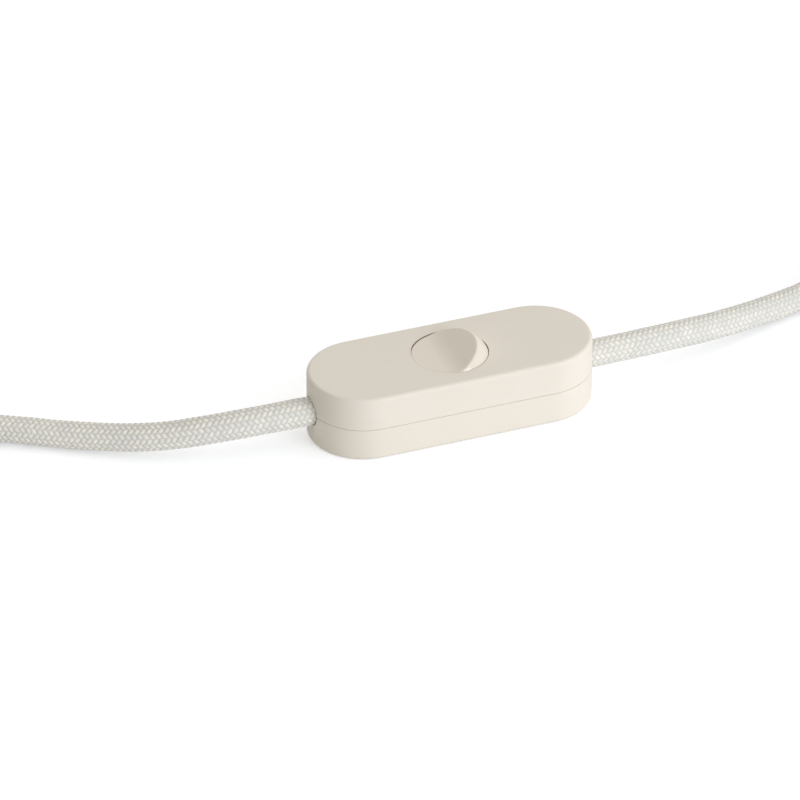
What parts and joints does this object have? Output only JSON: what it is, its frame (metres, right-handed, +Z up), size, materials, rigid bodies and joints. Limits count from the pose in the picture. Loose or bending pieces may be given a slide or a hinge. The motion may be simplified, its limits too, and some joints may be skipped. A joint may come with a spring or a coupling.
{
  "type": "lamp cord set with inline switch",
  "caption": "Braided lamp cord set: an inline rocker switch in a rounded off-white housing, with a flat two-pin plug on one end and a screw lamp holder on the other.",
  "frame": {"origin": "middle of the switch housing's flat underside", "axes": "+X along the switch from the plug side to the lamp side, +Y away from the viewer, +Z up through the rocker"},
  "size_m": [0.4665, 0.0596, 0.0517],
  "materials": {
    "cream_plastic": "satin moulded, warm off-white",
    "cream_rocker": "smooth moulded, warm off-white",
    "inner_plastic": "moulded",
    "spring_steel": "drawn wire",
    "contact_brass": "stamped",
    "contact_silver": "riveted contact",
    "live_insulation": "extruded sleeve",
    "neutral_insulation": "extruded sleeve",
    "braid": "braided yarn sleeve",
    "tie_band": "woven band",
    "plug_plastic": "satin moulded",
    "sleeve_plastic": "moulded on",
    "plated_brass": "nickel plated",
    "holder_plastic": "satin moulded"
  },
  "bodies": {
    "housing": {"upper_shell": "cream_plastic", "lower_shell": "cream_plastic", "common_terminal": "contact_brass", "fixed_contact": "contact_brass", "neutral_link": "contact_brass", "live_wire_left": "live_insulation", "live_wire_right": "live_insulation", "neutral_wire_left": "neutral_insulation", "neutral_wire_right": "neutral_insulation", "left_clamp": "inner_plastic", "right_clamp": "inner_plastic", "left_hank": "braid", "right_hank": "braid", "left_cord": "braid", "right_cord": "braid", "left_tail": "braid", "right_tail": "braid", "left_ties": "tie_band", "right_ties": "tie_band", "plug_body": "plug_plastic", "plug_boot": "plug_plastic", "plug_pins": "plated_brass", "pin_sleeves": "sleeve_plastic", "holder_grip": "holder_plastic", "holder_cap": "holder_plastic", "holder_body": "holder_plastic", "screw_shell": "plated_brass", "centre_tongue": "contact_brass", "wiring_lugs": "contact_brass"},
    "rocker": {"rocker": "cream_rocker", "plunger_spring": "spring_steel"},
    "plunger": {"plunger": "inner_plastic"},
    "seesaw": {"seesaw": "contact_brass", "moving_contact": "contact_silver"}
  },
  "joints": [
    {"name": "rocker_turn", "type": "hinge", "parent": "housing", "child": "rocker", "pos_m": [0, 0, 0.0117], "axis": [0, 1, 0], "range_deg": [0, 26]},
    {"name": "seesaw_turn", "type": "hinge", "parent": "housing", "child": "seesaw", "pos_m": [0, 0, 0.0047], "axis": [0, 1, 0], "range_deg": [-12, 0]},
    {"name": "plunger_slide", "type": "slide", "parent": "rocker", "child": "plunger", "axis": [-0.225, 0, 0.9744], "range_m": [0, 0.0006], "stiffness_N_per_m": 400, "springref_m": -0.002, "deforming": ["plunger_spring"]}
  ],
  "couplings": [
    {"joint": "seesaw_turn", "follows": "rocker_turn", "ratio": -0.46154}
  ]
}
